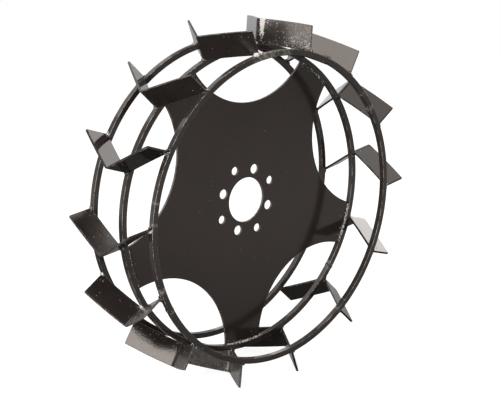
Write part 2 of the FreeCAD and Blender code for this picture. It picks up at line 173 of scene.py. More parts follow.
def glossPaint(name, look):
    # Base colour drifts between two browns with a broad noise. It turns grey in patches where the dust mark
    # says so, partly dust and partly a painted reflection of the lamps on the lugs' faces, and light in fine
    # grains where the glint mark does, which are painted highlights. It turns light where a noise plus the
    # wear mark passes a
    # threshold: partly worn paint and bare steel, partly a painted highlight on edges, weld beads and drops.
    # Specks
    # are round: the distance to the nearest point of a random lattice, kept where its random number is high;
    # their light colour is partly a painted glint of spatter. The bumps lie one on the other: slow waves of
    # the steel, orange peel of thick paint, specks, grinder marks.
    paint = bpy.data.materials.new(name)
    paint.use_nodes = True
    nodes, links = paint.node_tree.nodes, paint.node_tree.links
    nodes.clear()

    def node(kind, place, **values):
        made = nodes.new("ShaderNode" + kind)
        made.location = place
        for key, value in values.items():
            if hasattr(made, key):
                setattr(made, key, value)
            else:
                made.inputs[key.replace("_", " ")].default_value = value
        return made

    def maths(operation, first, second, place):
        made = node("Math", place, operation=operation)
        for socket, value in enumerate((first, second)):
            if isinstance(value, (int, float)):
                made.inputs[socket].default_value = value
            else:
                links.new(value, made.inputs[socket])
        return made.outputs[0]

    def add(first, second, place):
        return maths("ADD", first, second, place)

    def times(first, second, place):
        return maths("MULTIPLY", first, second, place)

    def stretch(value, span, place, to=(0.0, 1.0)):
        ends = {"From_Min": span[0], "From_Max": span[1], "To_Min": to[0], "To_Max": to[1]}
        made = node("MapRange", place, clamp=True, **ends)
        links.new(value, made.inputs["Value"])
        return made.outputs[0]

    def mark(attribute, place):
        return node("Attribute", place, attribute_name=attribute).outputs["Fac"]

    where = node("TexCoord", (-1900, 0)).outputs["Object"]

    def noise(scale, place, detail=2, roughness=0.5):
        made = node("TexNoise", place, Scale=scale, Detail=detail, Roughness=roughness)
        links.new(where, made.inputs["Vector"])
        return made.outputs[0]

    def cover(under, colour, share, place):
        made = node("Mix", place, data_type="RGBA")
        made.inputs["B"].default_value = (*colour, 1)
        links.new(share, made.inputs["Factor"])
        links.new(under, made.inputs["A"])
        return made.outputs["Result"]

    shader = node("BsdfPrincipled", (300, 0), IOR=look["ior"])
    shader.inputs["Specular Tint"].default_value = (*look["sheen"], 1)
    output = node("OutputMaterial", (600, 0))
    links.new(shader.outputs[0], output.inputs[0])

    # what lies where
    # light places: partly worn paint and bare steel, partly a painted highlight on edges, weld beads and
    # drops
    wornMark, wornShare = look["wear"]
    rub = noise(look["rubScale"], (-1600, 1000), detail=6, roughness=0.7)
    rub = add(rub, times(mark(wornMark, (-1600, 1200)), wornShare, (-1400, 1200)), (-1200, 1000))
    bare = stretch(rub, (look["rubFrom"], look["rubFrom"] + recipe["bareStep"]), (-1000, 1000))
    lattice = node("TexVoronoi", (-1600, -500), Scale=look["nibScale"], Randomness=1.0)
    links.new(where, lattice.inputs["Vector"])
    nibRound = stretch(lattice.outputs["Distance"], (0.0, look["nibSize"]), (-1300, -500), to=(1.0, 0.0))
    cellColour = node("SeparateColor", (-1450, -750))
    links.new(lattice.outputs["Color"], cellColour.inputs[0])
    if "speckMark" in look:
        share = times(mark(look["speckMark"], (-1600, -950)), look["nibShare"], (-1400, -950))
        lifted = add(cellColour.outputs[0], share, (-1250, -750))
        chosen = maths("GREATER_THAN", lifted, 1.0, (-1100, -750))
    else:
        chosen = maths("GREATER_THAN", cellColour.outputs[0], 1 - look["nibShare"], (-1100, -750))
    nib = times(nibRound, chosen, (-900, -600))

    # colour
    drift = node("ValToRGB", (-1000, 500))
    for stop, position, brown in zip(drift.color_ramp.elements, recipe["driftRange"], ("dark", "light")):
        stop.position = position
        stop.color = (*look[brown], 1)
    links.new(noise(look["driftScale"], (-1300, 500), detail=5, roughness=0.6), drift.inputs[0])
    colour = drift.outputs[0]
    haze = noise(look["hazeScale"], (-1300, 100), detail=4, roughness=0.6)
    haze = stretch(haze, recipe["hazeRange"], (-1000, 100), to=look["gloss"])
    # grey patches: partly dust, partly a painted reflection of the lamps on the faces
    if "dusty" in look:
        patches = noise(recipe["dustScale"], (-1600, 650), detail=4, roughness=0.6)
        patches = stretch(patches, recipe["dustRange"], (-1400, 650))
        dust = times(mark("dust", (-1600, 800)), patches, (-1200, 750))
        colour = cover(colour, look["dusty"], dust, (-600, 600))
        haze = add(haze, times(dust, recipe["dustHaze"], (-700, 150)), (-500, 100))
        # painted glints: light grains that stand in for highlights, laid where the glint mark is high
        share = times(mark("glitter", (-1600, 1700)), recipe["grainShare"], (-1400, 1700))
        grain = noise(recipe["grainScale"], (-1600, 1850), detail=3, roughness=0.75)
        grain = stretch(add(grain, share, (-1200, 1750)), recipe["grainRange"], (-1000, 1750))
        colour = cover(colour, look["glint"], grain, (-500, 600))
    # painted highlight and wear: the light colour where the wear mark passes its threshold
    colour = cover(colour, look["worn"], bare, (-400, 600))
    # light specks: partly spatter in the paint, partly painted glints of the lamps
    colour = cover(colour, look["speck"], stretch(nib, recipe["nibRange"], (-600, -450)), (-200, 600))
    haze = add(haze, times(bare, recipe["bareHaze"], (-500, 250)), (-300, 100))

    # bumps
    peel = noise(look["peelScale"], (-900, -200))
    if "peelMark" in look:
        peel = times(peel, mark(look["peelMark"], (-900, -50)), (-700, -200))
    wave = noise(look["waveScale"], (-900, -350))
    heights = [(wave, look["waveDepth"]), (peel, look["peelDepth"]), (nib, look["nibDepth"])]
    if "grinder" in look:
        # diagonal strokes: a noise of the slanting way along the bar alone, bent and broken up by two others
        bend = noise(recipe["bendScale"], (-1600, -1500), detail=2, roughness=0.6)
        bend = times(bend, recipe["bendWay"], (-1400, -1450))
        bent = add(mark("slant", (-1600, -1350)), bend, (-1250, -1350))
        strokes = node("TexNoise", (-1100, -1250), noise_dimensions="1D", Scale=1 / look["grinder"],
                       Detail=3.0, Roughness=0.7)
        links.new(bent, strokes.inputs["W"])
        broken = noise(recipe["breakScale"], (-1250, -1550), detail=4, roughness=0.7)
        broken = times(broken, recipe["breakShare"], (-1100, -1550))
        rough = stretch(add(strokes.outputs[0], broken, (-800, -1300)), recipe["strokeRange"], (-650, -1300))
        scratch = times(rough, mark("ground", (-800, -1450)), (-500, -1350))
        colour = cover(colour, look["groundColour"], scratch, (0, 700))
        haze = add(haze, times(scratch, recipe["strokeHaze"], (-300, -1000)), (-100, 100))
        heights.append((scratch, recipe["strokeDepth"]))
    if "leanMark" in look:
        heights.append((mark(look["leanMark"], (-900, -1700)), 1.0))
    under = None
    for step, (height, depth) in enumerate(heights):
        bump = node("Bump", (-300, -150 - 200 * step), Strength=1.0, Distance=depth * 0.001)
        links.new(height, bump.inputs["Height"])
        if under:
            links.new(under, bump.inputs["Normal"])
        under = bump.outputs[0]
    links.new(colour, shader.inputs["Base Color"])
    links.new(haze, shader.inputs["Roughness"])
    links.new(under, shader.inputs["Normal"])
    return paint


discLook = {
    "dark": (0.0262, 0.0204, 0.0172), "light": (0.0314, 0.0247, 0.0210), "driftScale": 9,
    "worn": (0.150, 0.136, 0.125), "rubScale": 40, "rubFrom": 0.71, "wear": ("edge", 0.30),
    "gloss": (0.10, 0.15), "hazeScale": 14, "ior": 1.44, "sheen": (0.98, 0.84, 0.77),
    "waveScale": 9, "waveDepth": 0.25, "peelScale": 420, "peelDepth": 0.006,
    "nibScale": 70, "nibSize": 0.07, "nibShare": 0.07, "nibDepth": 0.2, "speck": (0.16, 0.145, 0.13),
}
lugLook = {
    "dark": (0.0165, 0.0134, 0.0117), "light": (0.0215, 0.0176, 0.0155), "driftScale": 18,
    "worn": (0.230, 0.212, 0.197), "rubScale": 70, "rubFrom": 0.74, "wear": ("edge", 0.29),
    "gloss": (0.06, 0.11), "hazeScale": 20, "ior": 1.5, "sheen": (1.0, 0.92, 0.86),
    # grey of the dust, partly a painted reflection, and the light colour of the painted glints
    "dusty": (0.115, 0.102, 0.091), "glint": (0.62, 0.59, 0.55),
    "waveScale": 12, "waveDepth": 0.5, "peelScale": 420, "peelDepth": 0.22, "peelMark": "peel",
    "nibScale": 430, "nibSize": 0.34, "nibShare": 0.8, "nibDepth": 0.25, "speck": (0.52, 0.49, 0.46),
    "speckMark": "specks", "leanMark": "lean",
}
hoopLook = {
    "dark": (0.0250, 0.0204, 0.0178), "light": (0.0380, 0.0312, 0.0275), "driftScale": 26,
    "worn": (0.400, 0.375, 0.350), "rubScale": 60, "rubFrom": 0.80, "wear": ("edge", 0.43),
    "gloss": (0.08, 0.14), "hazeScale": 30, "ior": 1.47, "sheen": (1.0, 0.9, 0.84),
    "waveScale": 22, "waveDepth": 0.12, "peelScale": 260, "peelDepth": 0.02,
    "nibScale": 170, "nibSize": 0.16, "nibShare": 0.04, "nibDepth": 0.3, "speck": (0.40, 0.37, 0.34),
    "grinder": 3.2,  # length of a stroke's noise across the strokes
    "groundColour": (0.36, 0.34, 0.31),
}
# weld beads: where bare, their light colour is partly bare steel, partly a painted highlight of the lamps
beadLook = {
    "dark": (0.0180, 0.0146, 0.0127), "light": (0.0420, 0.0357, 0.0315), "driftScale": 160,
    "worn": (0.74, 0.71, 0.67), "rubScale": 330, "rubFrom": 0.60, "wear": ("bare", 0.17),
    "gloss": (0.10, 0.22), "hazeScale": 60, "ior": 1.5, "sheen": (1.0, 0.92, 0.86),
    "waveScale": 220, "waveDepth": 0.7, "peelScale": 620, "peelDepth": 0.10,
    "nibScale": 420, "nibSize": 0.40, "nibShare": 0.34, "nibDepth": 0.2, "speck": (0.68, 0.65, 0.61),
}
# drops: the light colour of the bright ones is a painted glint of the lamps, partly bare steel
dropLook = {
    "dark": (0.0120, 0.0096, 0.0084), "light": (0.0200, 0.0165, 0.0145), "driftScale": 300,
    "worn": (0.62, 0.59, 0.55), "rubScale": 500, "rubFrom": 1.05, "wear": ("bright", 1.0),
    "gloss": (0.10, 0.22), "hazeScale": 60, "ior": 1.5, "sheen": (1.0, 0.95, 0.9),
    "waveScale": 300, "waveDepth": 0.15, "peelScale": 900, "peelDepth": 0.05,
    "nibScale": 900, "nibSize": 0.3, "nibShare": 0.2, "nibDepth": 0.05, "speck": (0.60, 0.57, 0.53),
}
discPaint = glossPaint("discPaint", discLook)
lugPaint = glossPaint("lugPaint", lugLook)
hoopPaint = glossPaint("hoopPaint", hoopLook)
beadPaint = glossPaint("beadPaint", beadLook)
dropPaint = glossPaint("dropPaint", dropLook)
print("paints mixed")


# Hoops: square bar rolled to a ring

hoop = {
    "corner": 0.8,  # rounding of the bar's long edges
    "outOfRound": 0.12,  # height of the slow wave in the rolled bar
    "waves": (5, 11),  # how often the slow and the quick wave go up and down in one round
    "quickWave": 0.6,  # height of the quick wave as a share of the slow one
    "buttGap": 3.0,
    "buttAt": {"Far": 58.0, "Middle": 319.5, "Near": 206.0},
    "stations": 600,
    "wear": (0.80, 0.20, 310),  # wear of the edges, partly a painted highlight, which swells twice in one round: middle, swing, phase
    "groundAt": {  # places a grinder has dressed: angle, half its length in degrees, how bright
        "Far": ((57.5, 1.2, 0.8), (150, 1.0, 0.5)),
        "Middle": ((319.5, 1.6, 0.8), (96, 2.0, 0.5)),
        "Near": ((94, 5.5, 0.85), (84.5, 2.5, 0.5), (197.5, 1.0, 1.0), (206.5, 0.9, 1.0), (31, 1.2, 0.7),
                 (38.5, 0.4, 0.9), (303, 0.5, 0.7), (173, 0.6, 0.8), (165.5, 0.5, 0.8)),
    },
}


def hoopSurface(side):
    # A rounded square carried round a circle: radius plus the section's height, plus a slow and a quick sine
    half = wheel["barWidth"] / 2
    outline, edge = roundedOutline(half, half, hoop["corner"])
    opening = math.degrees(hoop["buttGap"] / 2 / wheel["hoopRadius"])
    start = hoop["buttAt"][side]
    angle = np.linspace(start + opening, start + 360 - opening, hoop["stations"])
    phase = np.radians(angle)
    slow, quick = hoop["waves"]
    wave = np.sin(slow * phase + sides[side]) + hoop["quickWave"] * np.sin(quick * phase + 2 * sides[side])
    stray = hoop["outOfRound"] * wave
    radius = wheel["hoopRadius"] - half + outline[None, :, 1] + stray[:, None]
    axial = sides[side] * wheel["hoopSpacing"] + outline[None, :, 0] + 0 * stray[:, None]
    return onWheel(0 * radius, axial, radius, angle[:, None]), np.broadcast_to(edge, radius.shape), angle


def groundMark(side, angle):
    # As bright as it says in each dressed place: exp of minus the fourth power of the way out
    middle, half, bright = np.array(hoop["groundAt"][side]).T[..., None]
    away = (angle - middle + 180) % 360 - 180
    return (bright * np.exp(-((away / half) ** 4))).max(0)


for side in sides:
    points, edge, angle = hoopSurface(side)
    # the edges' painted highlight, partly wear, swells and fades twice round the hoop
    wearMiddle, wearSwing, wearPhase = hoop["wear"]
    edge = edge * (wearMiddle + wearSwing * np.cos(np.radians(2 * angle[:, None] - wearPhase)))
    alongBar = -np.radians(angle)[:, None] * wheel["hoopRadius"]
    slant = alongBar + np.linalg.norm(points[..., [0, 2]], axis=-1) - points[..., 1]
    addPiece("hoopBar" + side, points, tubeFaces(points[None]), "hoop_bar", hoopPaint,
             ["hoop_" + side.lower()], edge=edge, slant=slant, ground=groundMark(side, angle)[:, None])
print("hoops rolled")


# Butt welds: the collar that closes each hoop

butt = {
    "length": 7.0,
    "proud": 0.55,
    "sunk": 0.25,  # how far both ends of the collar lie in the bar
    "ripple": 0.16,
    "ripples": 3.5,
    "lean": 0.5,  # how far the collar wanders along the bar
    "softer": 0.4,  # what its corners add to the bar's rounding
    "bare": -0.2,
    "stations": 29,
}


def buttSurface(side):
    # The bar's outline grown by a bump along the bar: a half ellipse with a ripple on it, less the eighth
    # power of the way out, which sinks both ends into the bar
    t = np.linspace(-1, 1, butt["stations"])
    ripple = 1 - butt["ripple"] * np.cos(2 * math.pi * butt["ripples"] * t)
    swell = butt["proud"] * np.sqrt(1 - t ** 2) * ripple - butt["sunk"] * t ** 8
    half = wheel["barWidth"] / 2 + swell
    outline, edge = roundedOutline(half, half, hoop["corner"] + butt["softer"])
    around = np.linspace(0, 2 * math.pi, outline.shape[1], endpoint=False)
    lean = butt["lean"] * np.sin(2 * around + sides[side])
    way = t[:, None] * butt["length"] / 2 + lean * (1 - t[:, None] ** 2)
    angle = hoop["buttAt"][side] + np.degrees(way / wheel["hoopRadius"])
    radius = wheel["hoopRadius"] - wheel["barWidth"] / 2 + outline[..., 1]
    return onWheel(0 * radius, sides[side] * wheel["hoopSpacing"] + outline[..., 0], radius, angle)


for side in sides:
    points = buttSurface(side)
    addPiece("buttCollar" + side, points, tubeFaces(points[None]), "weld_bead", beadPaint,
             ["butt_weld_" + side.lower()], bare=butt["bare"])
print("butt welds laid")


# Disc: plate cut to arms and scallops

disc = {
    "radius": 265.0,
    "thickness": 4.0,
    "edgeRound": 0.5,  # the cut edge's rounding
    "flatMargin": 0.35,  # a strip of flat beside the rounding, which keeps its shading true
    "armWidth": 79.6,
    "waist": 174.0,
    "hubHole": 80.0,
    "largeHoles": (4, 17.0, 112.0, 0.0),  # count, diameter, circle, turn from the first scallop
    "smallHoles": (4, 14.5, 124.0, 45.0),
    "steps": {"scallop": 61, "arm": 18, "hub": 96, "hole": 36},  # points along each kind of edge
}
armHalf = math.degrees(math.asin(disc["armWidth"] / 2 / disc["radius"]))
scallopHalf = 180 / wheel["armCount"] - armHalf


def discOutline():
    # Five arcs of the rim between five scallop arcs. A scallop's circle passes through both arm corners and
    # the waist, so its centre lies at (rim squared - waist squared) / 2 (rim cos(half angle) - waist) on the
    # line between the arms.
    rim, waist, steps = disc["radius"], disc["waist"], disc["steps"]
    half = math.radians(scallopHalf)
    reach = (rim ** 2 - waist ** 2) / (2 * (rim * math.cos(half) - waist))
    spread = math.atan2(rim * math.sin(half), reach - rim * math.cos(half))
    curve = np.linspace(math.pi + spread, math.pi - spread, steps["scallop"])
    scallop = reach + (reach - waist) * np.exp(1j * curve)
    armTurn = np.linspace(half, 2 * math.pi / wheel["armCount"] - half, steps["arm"])
    armEnd = rim * np.exp(1j * armTurn[1:-1])
    turns = np.radians(wheel["firstScallop"] + np.arange(wheel["armCount"]) * 360 / wheel["armCount"])
    return (np.exp(1j * turns)[:, None] * np.concatenate([scallop, armEnd])).ravel()


def holeLoop(centre, across, steps):
    # A circle of complex points about a centre, clockwise, so that its left side is the plate
    return centre + across / 2 * np.exp(-1j * np.linspace(0, 2 * math.pi, steps, endpoint=False))


def inset(loop, distance):
    # Moves a closed loop of complex points to its left by a distance, with mitred corners
    forward = np.roll(loop, -1) - loop
    forward = forward / np.abs(forward)
    normalAfter = 1j * forward
    normalBefore = np.roll(normalAfter, 1)
    mitre = normalAfter + normalBefore
    return loop + distance * 2 * mitre / np.abs(mitre) ** 2


def discSurface():
    # The cut edge is a half-round profile carried along each loop; triangles fill the flats between them
    corner, half = disc["edgeRound"], disc["thickness"] / 2
    turn = np.linspace(0, math.pi / 2, 4)
    profileIn = np.r_[corner + disc["flatMargin"], corner * (1 - np.sin(turn))]
    profileUp = np.r_[half, half - corner * (1 - np.cos(turn))]
    profile = np.stack([np.r_[profileIn, profileIn[::-1]], np.r_[profileUp, -profileUp[::-1]]], -1)
    loops = [discOutline(), holeLoop(0, disc["hubHole"], disc["steps"]["hub"])]
    for count, across, circle, start in (disc["largeHoles"], disc["smallHoles"]):
        for k in range(count):
            turned = math.radians(wheel["firstScallop"] + start + k * 360 / count)
            loops.append(holeLoop(circle / 2 * np.exp(1j * turned), across, disc["steps"]["hole"]))
    vertices, faces, edge, flats, base = [], [], [], [[], []], 0
    for loop in loops:
        rows = np.stack([inset(loop, amount) for amount in profile[:, 0]])
        height = np.broadcast_to(profile[:, 1][:, None], rows.shape)
        vertices.append(np.stack([rows.real, height, rows.imag], -1).reshape(-1, 3))
        marks = np.ones(rows.shape)
        marks[[0, -1]] = 0
        edge.append(marks.ravel())
        index = base + np.arange(rows.size).reshape(rows.shape)
        following = np.roll(index, -1, axis=1)
        quads = np.stack([index[:-1], following[:-1], following[1:], index[1:]], -1)
        faces += quads.reshape(-1, 4).tolist()
        flats[0].append((rows[0], index[0]))
        flats[1].append((rows[-1], index[-1]))
        base += rows.size
    flat = np.concatenate(vertices)
    for face, up in enumerate((1, -1)):
        polygons = [[Vector((p.real, p.imag, 0)) for p in row] for row, _ in flats[face]]
        names = np.concatenate([index for _, index in flats[face]])
        fill = names[np.array(tessellate_polygon(polygons))]
        area = np.cross(flat[fill[:, 1]] - flat[fill[:, 0]], flat[fill[:, 2]] - flat[fill[:, 0]])[:, 1]
        wrong = area * up < 0
        fill[wrong] = fill[wrong][:, ::-1]
        faces += fill.tolist()
    return flat, faces, np.concatenate(edge)


points, faces, edge = discSurface()
addPiece("discPlate", points, faces, "disc_plate", discPaint, ["disc"], edge=edge)
print("disc cut")


# Lugs: flat bar bent to a V and coped to the hoops

lug = {
    "height": 44.0,
    "thickness": 4.0,
    "innerBend": 6.0,
    "wingAngle": 32.0,
    "halfWidth": 83.0,
    "edgeRound": 0.7,
    "bow": 0.35,  # how far a wing bulges between its ends
    "rows": {"bend": 8, "start": 0.4, "wing": (0.02, 0.98, 14), "end": 4},  # where its cross-sections lie
    "endPinch": 0.2,  # how much further than its rounding the last section shrinks
    "leastCorner": 0.04,
    # lug by lug, the first one first: orange peel, dust on the near and far wing that is partly a painted
    # reflection of the lamps, light specks in the paint that are partly painted glints of spatter
    "peel": (0.45, 1.0, 0.06, 0.10, 0.10, 0.15, 0.15, 0.15, 0.6, 0.55, 0.10, 0.45, 0.08, 0.12),
    "dust": (0.0, 0.15, 0.0, 0.0, 0.0, 0.0, 0.0, 0.0, 0.75, 0.45, 0.9, 0.0, 0.0, 0.0),
    "dustFar": (0.0, 0.0, 0.0, 0.0, 0.0, 0.0, 0.0, 0.0, 1.0, 0.0, 0.0, 0.45, 0.0, 0.0),
    # light specks per lug: partly spatter, partly painted glints
    "specks": (0.03, 0.25, 0.0, 0.0, 0.0, 0.03, 0.02, 0.0, 0.15, 0.14, 0.06, 0.06, 0.0, 0.0),
    # painted glints, light grains on both wings that stand in for highlights, and how far a tip bends
    # out, as the gloss shows it
    "glitter": (0.0, 0.0, 0.0, 0.0, 0.0, 0.0, 0.0, 0.0, 0.40, 0.0, 0.0, 0.0, 0.0, 0.0),
    "lean": (0.0, 0.0, 0.0, 0.0, 0.0, 0.0, 0.0, 0.0, 0.0, 2.3, 0.0, 0.0, 0.0, 0.0),
    # the way out along a wing is 0 at the bend and 1 at its end, less than 0 on the near wing
    "dustOut": (0.25, 3.5),  # near wing: dust and painted reflection at the bend, and how fast it grows with the way out
    "dustUp": (0.5, 0.9),  # and at the foot, and what the tip adds
    "fading": 11,  # the lug, counted from none, whose dust and painted reflection on the far wing fades
    "dustLoss": (0.8, 0.4, 0.25),  # what it loses: with the way out, more of that at the tip, and at the tip
    "grains": (0.5, 1.7, 0.05, 0.028),  # painted glints: share all over, and a bell's height, middle and width
    "streaked": 1,  # the lug, counted from none, whose painted glints form a streak and cover its outer half
    # painted highlight streaks: middle, width, height at the foot, what the tip adds: the streak beside the
    # bend, its tail, a faint one
    "streaks": ((-0.085, 0.045, 0.1, 2.0), (-0.16, 0.07, 0.0, 0.62), (-0.36, 0.04, 0.5, 0.0)),
    "outerHalf": (-0.47, 0.03, 0.47, -0.14),
}
outerBend = lug["innerBend"] + lug["thickness"]
wingTurn = math.radians(lug["wingAngle"])
wingLength = (lug["halfWidth"] - outerBend * math.sin(wingTurn)) / math.cos(wingTurn)


def lugSurface(angle, bow):
    # The middle line is an arc about the bend's centre and a straight wing at each end, bowed by a parabola.
    # A rounded rectangle is carried along it, and shrinks at the ends to round them too. Its low edge follows
    # the hoops' circle and its high edge the circle of the tips.
    middle, corner, rows = lug["innerBend"] + lug["thickness"] / 2, lug["edgeRound"], lug["rows"]
    arc = np.linspace(0, wingTurn, rows["bend"])
    end = np.linspace(0, math.pi / 2, rows["end"])
    straight = np.linspace(*rows["wing"]) * wingLength
    along = np.r_[rows["start"], straight, wingLength - corner * (1 - np.sin(end)), wingLength]
    along.sort()
    shrink = np.zeros(along.size)
    shrink[-end.size - 1:] = np.r_[corner * (1 - np.cos(end)), corner + lug["endPinch"]]
    bulge = bow * (1 - (2 * along / wingLength - 1) ** 2)
    cosine, sine = math.cos(wingTurn), math.sin(wingTurn)
    wingTrail = outerBend - middle * cosine + sine * along - cosine * bulge
    trail = np.r_[outerBend - middle * np.cos(arc), wingTrail]
    axial = np.r_[middle * np.sin(arc), middle * sine + cosine * along + sine * bulge]
    normalTrail = np.r_[-np.cos(arc), np.full(along.size, -cosine)]
    normalAxial = np.r_[np.sin(arc), np.full(along.size, sine)]
    shrink = np.r_[np.zeros(arc.size), shrink]
    trail, normalTrail, shrink = (np.r_[v[:0:-1], v] for v in (trail, normalTrail, shrink))
    axial, normalAxial = (np.r_[-v[:0:-1], v] for v in (axial, normalAxial))
    halfThick, halfHigh = lug["thickness"] / 2 - shrink, lug["height"] / 2 - shrink
    outline, edge = roundedOutline(halfThick, halfHigh, np.maximum(corner - shrink, lug["leastCorner"]), 3)
    across, rise = outline[..., 0], outline[..., 1]
    x = trail[:, None] + normalTrail[:, None] * across
    y = axial[:, None] + normalAxial[:, None] * across
    foot = np.sqrt(wheel["hoopRadius"] ** 2 - x ** 2) + rise + lug["height"] / 2
    tip = np.sqrt((wheel["hoopRadius"] + lug["height"]) ** 2 - x ** 2) + rise - lug["height"] / 2
    z = np.where(rise > 0, tip, foot)
    up = np.where(rise > 0, 1.0, 0.0) + 0 * x
    wayOut = axial[:, None] / lug["halfWidth"] + 0 * x
    return onWheel(x, y, z, angle), np.broadcast_to(edge, x.shape), wayOut, up


def dustMark(number, axial, up):
    # Dust, partly a painted reflection of the lamps on the faces. Near wing: the lug's share, times a
    # straight growth with the way out, times a straight growth from foot to tip. Far wing: the lug's other
    # share. On the fading lug it loses what grows with the way out and up.
    start, growth = lug["dustOut"]
    foot, rise = lug["dustUp"]
    near = lug["dust"][number] * np.clip(start - growth * axial, 0, 1) * (foot + rise * up)
    outLoss, tipLoss, upLoss = lug["dustLoss"]
    loss = axial * (outLoss + tipLoss * up) + upLoss * up
    far = lug["dustFar"][number] * (1 - loss * (number == lug["fading"]))
    return np.where(axial < 0, near, np.maximum(far, 0))


def bell(axial, middle, width):
    # One at the middle, and exp of minus the square of the way from it, counted in widths
    return np.exp(-(((axial - middle) / width) ** 2))


def glitterMark(number, axial, up):
    # Where the painted glints lie, which stand in for highlights of the lamps. On the streaked lug the
    # highest of three bells and a smooth step up to the outer half of the near wing, each with a height that
    # goes straight from foot to tip. On the others a thin share and a bell beside the bend of the far wing,
    # both times the lug's own share.
    if number != lug["streaked"]:
        thin, height, middle, width = lug["grains"]
        return lug["glitter"][number] * (thin + height * bell(axial, middle, width))
    streaks = [bell(axial, middle, width) * (foot + rise * up)
               for middle, width, foot, rise in lug["streaks"]]
    middle, width, foot, rise = lug["outerHalf"]
    outer = (foot + rise * up) / (1 + np.exp((axial - middle) / width))
    return np.maximum.reduce([*streaks, outer])


lugBows = lug["bow"] * chance.uniform(-1, 1, wheel["lugCount"])
for number, (angle, bow) in enumerate(zip(lugAngles, lugBows)):
    points, edge, axial, up = lugSurface(angle, bow)
    label = "%02d" % (number + 1)
    addPiece("lugBar" + label, points, tubeFaces(points[None]), "lug_bar", lugPaint, ["lug_" + label],
             edge=edge, peel=lug["peel"][number], specks=lug["specks"][number], lean=lug["lean"][number] * up,
             dust=dustMark(number, axial, up), glitter=glitterMark(number, axial, up))
print("lugs bent")


# Weld beads of the lugs

beadTurn = np.linspace(0, math.pi / 2, 9)[None, :]
beadFill = 0.85


def beadSection(leg, sunk):
    # A bead's outline in its corner: leg times the cosine and the sine of the turn, both to a power under
    # one, which fills the face out. The rest of the outline lies sunk in the two pieces.
    rest = 0 * leg[:, :1]
    cosine, sine = np.cos(beadTurn) ** beadFill, np.sin(beadTurn) ** beadFill
    first = np.concatenate([leg * cosine, rest - sunk[0], rest - sunk[0], leg[:, :1]], 1)
    second = np.concatenate([leg * sine, leg[:, -1:], rest - sunk[1], rest - sunk[1]], 1)
    return first, second


lugBead = {
    "leg": 3.7,
    "stations": 21,
    "halfLength": 5.0,
    "ends": 0.3,  # size at both ends as a share of that in the middle
    "spread": 0.16,  # how much the beads differ in size
    "shift": 0.25,  # and in place along the lug
    "ripple": 0.09,
    "ripples": 3.2,
    "lag": 0.35,  # how far a ripple lags at the middle of the face, counted in ripples
    "lump": 0.08,
    "sunk": (0.3, 0.35),
    # how light the beads are: bare steel, partly a painted highlight of the lamps on the ripples
    "bare": (-0.25, 1.1),
    "grown": ("Near", 2, 1.35, 2.2),  # the first beads of this hoop: how many, how much larger, how light: bare steel, partly a painted highlight
}


def faceOfLug(axial, innerSide):
    # How far a lug's leading or trailing face lies behind its apex at a distance along the axle, and the
    # face's normal
    radius = lug["innerBend"] if innerSide else outerBend
    away = 1 if innerSide else -1
    reach = np.abs(axial)
    straight = np.maximum(reach - radius * math.sin(wingTurn), 0)
    sine = np.minimum(reach / radius, math.sin(wingTurn))
    cosine = np.sqrt(1 - sine ** 2)
    trail = outerBend - radius * cosine + straight * math.tan(wingTurn)
    return trail, away * cosine, -away * sine * np.sign(axial)


def lugBeadSurface(axial, innerSide, angle, growth):
    # A quarter-round section carried along the corner between lug and hoop. Its size is one minus the fourth
    # power of the way along, times a ripple that lags behind at the middle of the bead's face, as a pool of
    # weld freezes, and a lump.
    t = np.linspace(-1, 1, lugBead["stations"])[:, None]
    size, shift, phase, lump = chance.uniform(-1, 1, 4)
    taper = lugBead["ends"] + (1 - lugBead["ends"]) * (1 - t ** 4)
    leg = lugBead["leg"] * growth * (1 + lugBead["spread"] * size) * taper
    lag = lugBead["lag"] * np.sin(2 * beadTurn)
    ripple = lugBead["ripple"] * np.cos(2 * math.pi * (lugBead["ripples"] * t / 2 + lag) + 3 * phase)
    leg = leg * (1 + ripple + lugBead["lump"] * lump * np.sin(3 * t + 2 * beadTurn))
    away, up = beadSection(leg, lugBead["sunk"])
    lean = 1 if axial == 0 else math.cos(wingTurn)
    y = axial + (t * lugBead["halfLength"] + lugBead["shift"] * shift) * lean
    trail, normalTrail, normalAxial = faceOfLug(y, innerSide)
    x = trail + normalTrail * away
    z = np.sqrt(wheel["hoopRadius"] ** 2 - x ** 2) + up
    return onWheel(x, y + normalAxial * away, z, angle)


hoopGrown, countGrown, growth, grownBare = lugBead["grown"]
for side in sides:
    grown = (np.arange(2 * wheel["lugCount"]) < countGrown) & (side == hoopGrown)
    axial = sides[side] * wheel["hoopSpacing"]
    beads = np.stack([lugBeadSurface(axial, bool(k % 2), lugAngles[k // 2], growth if grown[k] else 1.0)
                      for k in range(2 * wheel["lugCount"])])
    bareness = np.where(grown, grownBare, chance.uniform(*lugBead["bare"], len(beads)))[:, None, None]
    addPiece("lugBeads" + side, beads, tubeFaces(beads), "weld_bead", beadPaint,
             ["lug_welds_" + side.lower()], bare=bareness)
print("lug beads laid")


# Weld beads of the disc

discBead = {
    "leg": 2.8,
    "stations": 121,
    "endMargin": 3.0,
    "endTaper": (0.65, 24),  # what both ends lose in size, and the power that keeps it to the ends
    "wander": ((0.07, 5, 1), (0.05, 13, 2)),  # slow waves in size: height, pace, share of the random start
    "ripple": 0.17,
    "rippleLength": 3.4,
    "lag": 0.3,
    "sunk": (0.3, 0.3),
    "bare": (0.4, 0.8, 0.62, 0.4, 0.4),  # how light each arm's beads are, bare steel and partly a painted highlight, from the left arm anticlockwise
    "endBare": (0.4, 10),  # what both ends add, and the power that keeps it to the ends
}


